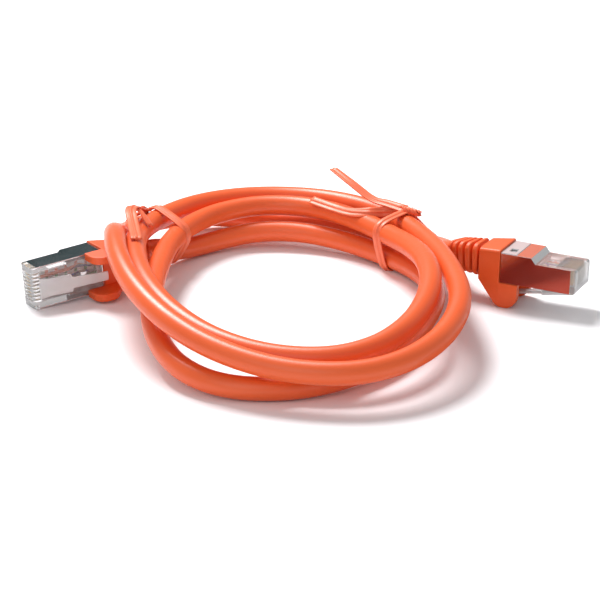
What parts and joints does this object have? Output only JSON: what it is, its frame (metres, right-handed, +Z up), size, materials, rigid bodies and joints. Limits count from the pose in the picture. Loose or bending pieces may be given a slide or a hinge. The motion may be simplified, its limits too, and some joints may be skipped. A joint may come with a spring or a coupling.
{
  "type": "shielded network patch cord",
  "caption": "Round-jacketed network patch cord, coiled flat and held by twist ties, with a shielded modular plug and ribbed boot on each end.",
  "frame": {"origin": "on the floor, under the centre of the box round the two plugs and the two ties", "axes": "+Z up, +X from plug a towards plug b, +Y towards the far side of the coil"},
  "size_m": [0.151, 0.1518, 0.0238],
  "materials": {
    "jacket": "smooth, soft sheen",
    "boot": "moulded, satin",
    "tie": "satin film",
    "clear": "clear, polished",
    "shell": "bright nickel plate",
    "gold": "gold plate",
    "foil": "crinkled foil",
    "drain": "tinned wire",
    "white_orange": "smooth",
    "orange_wire": "smooth",
    "white_green": "smooth",
    "blue_wire": "smooth",
    "white_blue": "smooth",
    "green_wire": "smooth",
    "white_brown": "smooth",
    "brown_wire": "smooth"
  },
  "bodies": {
    "cord": {"a_housing": "clear", "a_shield": "shell", "a_contacts": "gold", "a_strain_bar": "clear", "a_wire_1": "white_orange", "a_wire_2": "orange_wire", "a_wire_3": "white_green", "a_wire_4": "blue_wire", "a_wire_5": "white_blue", "a_wire_6": "green_wire", "a_wire_7": "white_brown", "a_wire_8": "brown_wire", "a_drain_wire": "drain", "a_foil_screen": "foil", "a_jacket_end": "jacket", "a_boot": "boot", "b_housing": "clear", "b_shield": "shell", "b_contacts": "gold", "b_strain_bar": "clear", "b_wire_1": "white_orange", "b_wire_2": "orange_wire", "b_wire_3": "white_green", "b_wire_4": "blue_wire", "b_wire_5": "white_blue", "b_wire_6": "green_wire", "b_wire_7": "white_brown", "b_wire_8": "brown_wire", "b_drain_wire": "drain", "b_foil_screen": "foil", "b_jacket_end": "jacket", "b_boot": "boot", "cable_coil": "jacket", "cable_tail_a": "jacket", "cable_tail_b": "jacket", "left_tie": "tie", "right_tie": "tie"},
    "latch_a": {"a_latch": "clear"},
    "latch_b": {"b_latch": "clear"}
  },
  "joints": [
    {"name": "latch_a_press", "type": "hinge", "parent": "cord", "child": "latch_a", "pos_m": [-0.06994, -0.03202, 0.00597], "axis": [-0.062, -0.0402, 0.9973], "range_deg": [0, 9], "stiffness_Nm_per_rad": 0.3},
    {"name": "latch_b_press", "type": "hinge", "parent": "cord", "child": "latch_b", "pos_m": [0.07121, -0.03239, 0.00555], "axis": [0.4305, 0.9026, 0], "range_deg": [0, 9], "stiffness_Nm_per_rad": 0.3}
  ]
}
